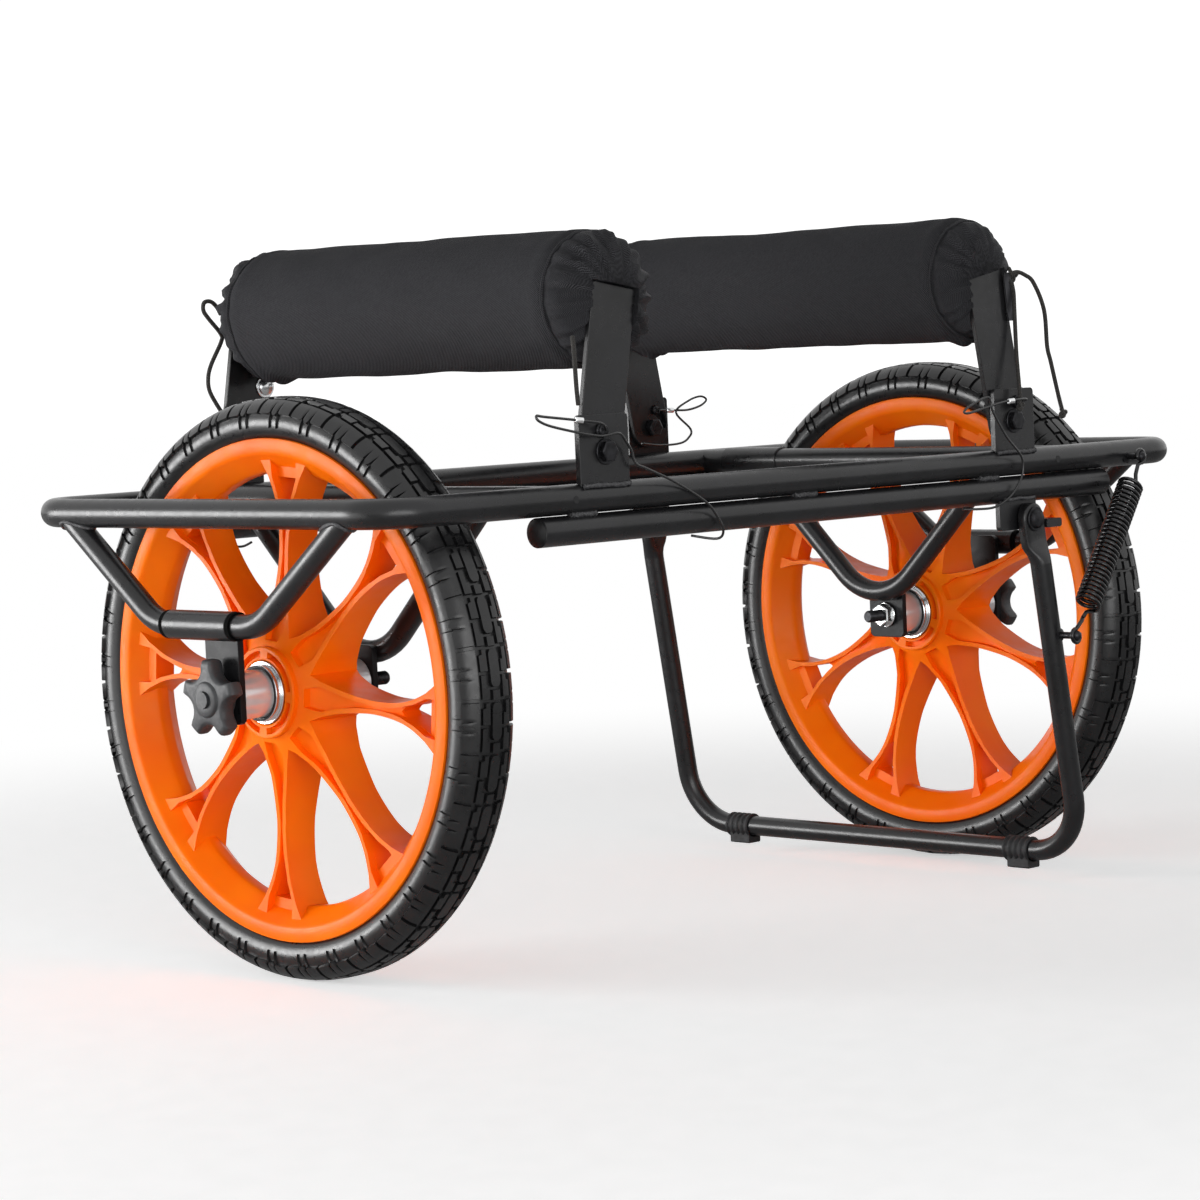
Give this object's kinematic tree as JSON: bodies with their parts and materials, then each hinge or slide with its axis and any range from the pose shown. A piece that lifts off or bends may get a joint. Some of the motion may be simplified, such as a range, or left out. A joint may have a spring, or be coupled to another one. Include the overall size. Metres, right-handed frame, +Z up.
{
  "type": "kayak cart",
  "caption": "Tubular steel boat cart with two spoked wheels, folding padded cradles and a spring-held kickstand.",
  "frame": {"origin": "on the ground under the middle of the cart's bounding box, cords left out", "axes": "+X along the wheel axles towards the kickstand side, +Y the way the cart rolls, +Z up"},
  "size_m": [0.8424, 0.4446, 0.5077],
  "materials": {
    "frame_coat": "black powder coat, slightly glossy",
    "orange_plastic": "moulded orange nylon, soft gloss",
    "tyre_rubber": "black rubber with a block tread",
    "bright_steel": "zinc plated, bright",
    "black_steel": "black oxide, satin",
    "knob_plastic": "dark grey moulded plastic",
    "pad_fabric": "black woven polyester over foam",
    "foot_rubber": "ribbed black rubber",
    "cord_weave": "braided cord"
  },
  "bodies": {
    "frame": {"frame_loop": "frame_coat", "cross_rail_left": "frame_coat", "truss_left_outer": "frame_coat", "truss_left_inner": "frame_coat", "axle_plate_left_outer": "frame_coat", "axle_plate_left_inner": "frame_coat", "axle_bolt_left": "bright_steel", "axle_spacer_left": "bright_steel", "cross_rail_right": "frame_coat", "truss_right_outer": "frame_coat", "truss_right_inner": "frame_coat", "axle_plate_right_outer": "frame_coat", "axle_plate_right_inner": "frame_coat", "axle_bolt_right": "bright_steel", "axle_spacer_right": "bright_steel", "lower_tube_front": "frame_coat", "stand_bracket_front": "frame_coat", "stand_bolt_front": "black_steel", "lower_tube_back": "frame_coat", "stand_bracket_back": "frame_coat", "stand_bolt_back": "black_steel", "arm_bracket_left_front": "frame_coat", "pivot_bolt_left_front": "black_steel", "lock_pin_left_front": "black_steel", "arm_bracket_left_back": "frame_coat", "pivot_bolt_left_back": "black_steel", "lock_pin_left_back": "black_steel", "arm_bracket_right_front": "frame_coat", "pivot_bolt_right_front": "black_steel", "lock_pin_right_front": "black_steel", "arm_bracket_right_back": "frame_coat", "pivot_bolt_right_back": "black_steel", "lock_pin_right_back": "black_steel", "lanyard_left_front": "cord_weave", "lanyard_right_front": "cord_weave", "lanyard_right_back": "cord_weave", "lanyard_left_back": "cord_weave"},
    "left_wheel": {"tyre_left": "tyre_rubber", "rim_left": "orange_plastic", "hub_sleeve_left": "bright_steel"},
    "right_wheel": {"tyre_right": "tyre_rubber", "rim_right": "orange_plastic", "hub_sleeve_right": "bright_steel"},
    "left_knob": {"knob_left": "knob_plastic"},
    "right_knob": {"knob_right": "knob_plastic"},
    "left_cradle": {"arm_left_front": "frame_coat", "arm_left_back": "frame_coat", "pad_left": "pad_fabric", "drawcord_left_back": "cord_weave", "drawcord_left_front": "cord_weave"},
    "right_cradle": {"arm_right_front": "frame_coat", "arm_right_back": "frame_coat", "pad_right": "pad_fabric", "drawcord_right_outer": "cord_weave", "drawcord_right_inner": "cord_weave"},
    "stand": {"stand_tube": "frame_coat", "stand_foot_front": "foot_rubber", "stand_foot_back": "foot_rubber"},
    "spring_upper": {"stand_spring": "black_steel"},
    "spring_lower": {"spring_hook": "black_steel"}
  },
  "joints": [
    {"name": "left_wheel_spin", "type": "hinge", "parent": "frame", "child": "left_wheel", "pos_m": [-0.33675, 0.01194, 0.2], "axis": [1, 0, 0], "continuous": true},
    {"name": "right_wheel_spin", "type": "hinge", "parent": "frame", "child": "right_wheel", "pos_m": [0.33675, 0.01194, 0.2], "axis": [1, 0, 0], "continuous": true},
    {"name": "left_knob_turn", "type": "hinge", "parent": "frame", "child": "left_knob", "pos_m": [-0.40125, 0.01194, 0.2], "axis": [1, 0, 0], "continuous": true},
    {"name": "right_knob_turn", "type": "hinge", "parent": "frame", "child": "right_knob", "pos_m": [0.40125, 0.01194, 0.2], "axis": [1, 0, 0], "continuous": true},
    {"name": "left_cradle_fold", "type": "hinge", "parent": "frame", "child": "left_cradle", "pos_m": [-0.2228, 0.01194, 0.3547], "axis": [0, 1, 0], "range_deg": [0, 65]},
    {"name": "right_cradle_fold", "type": "hinge", "parent": "frame", "child": "right_cradle", "pos_m": [0.2075, 0.01194, 0.3555], "axis": [0, -1, 0], "range_deg": [0, 65]},
    {"name": "stand_fold", "type": "hinge", "parent": "frame", "child": "stand", "pos_m": [0.217, 0.01194, 0.2815], "axis": [0, 1, 0], "range_deg": [0, 98.3]},
    {"name": "spring_swing", "type": "hinge", "parent": "frame", "child": "spring_upper", "pos_m": [0.341, -0.19806, 0.3218], "axis": [0, 1, 0], "range_deg": [0, 38.8]},
    {"name": "spring_stretch", "type": "slide", "parent": "spring_upper", "child": "spring_lower", "axis": [-0.6419, 0, -0.7668], "range_m": [0, 0.0506], "deforming": ["stand_spring"]}
  ],
  "couplings": [
    {"joint": "spring_swing", "follows": "stand_fold", "ratio": 0.39248},
    {"joint": "spring_stretch", "follows": "stand_fold", "m_per_rad": 0.029304}
  ]
}
